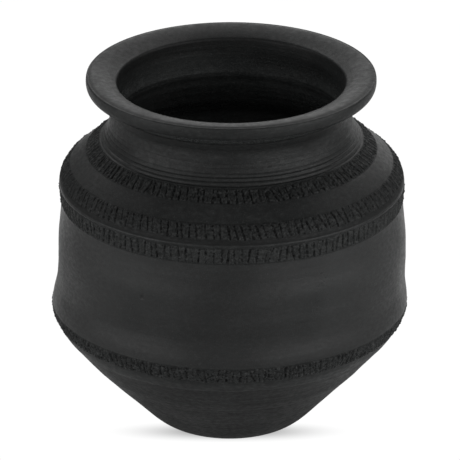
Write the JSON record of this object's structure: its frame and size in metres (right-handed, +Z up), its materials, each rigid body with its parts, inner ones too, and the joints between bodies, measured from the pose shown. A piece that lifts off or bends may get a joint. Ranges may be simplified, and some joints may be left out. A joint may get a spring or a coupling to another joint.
{
  "type": "black clay pot",
  "caption": "Matte black hand-thrown clay pot with a flared rim, waisted neck, ridged shoulder, impressed strips and a cone-shaped base.",
  "frame": {"origin": "centre of the foot, on the surface that the pot stands on", "axes": "+Z up along the turning axis and out of the mouth; X and Y are level and equivalent"},
  "size_m": [0.25, 0.25, 0.257],
  "materials": {
    "thrown_clay": "matte, smoke-fired black, faint turning lines",
    "impressed_clay": "matte, rough, tool-impressed"
  },
  "bodies": {
    "root": {"floor_disc": "thrown_clay", "lower_wall": "thrown_clay", "belly_wall": "thrown_clay", "shoulder_wall": "thrown_clay", "neck_collar": "thrown_clay", "rim_flange": "thrown_clay", "lower_strip": "impressed_clay", "under_ridge_strip": "impressed_clay", "ridge_coil": "thrown_clay", "shoulder_strip": "impressed_clay", "neck_strip": "impressed_clay"}
  },
  "joints": []
}
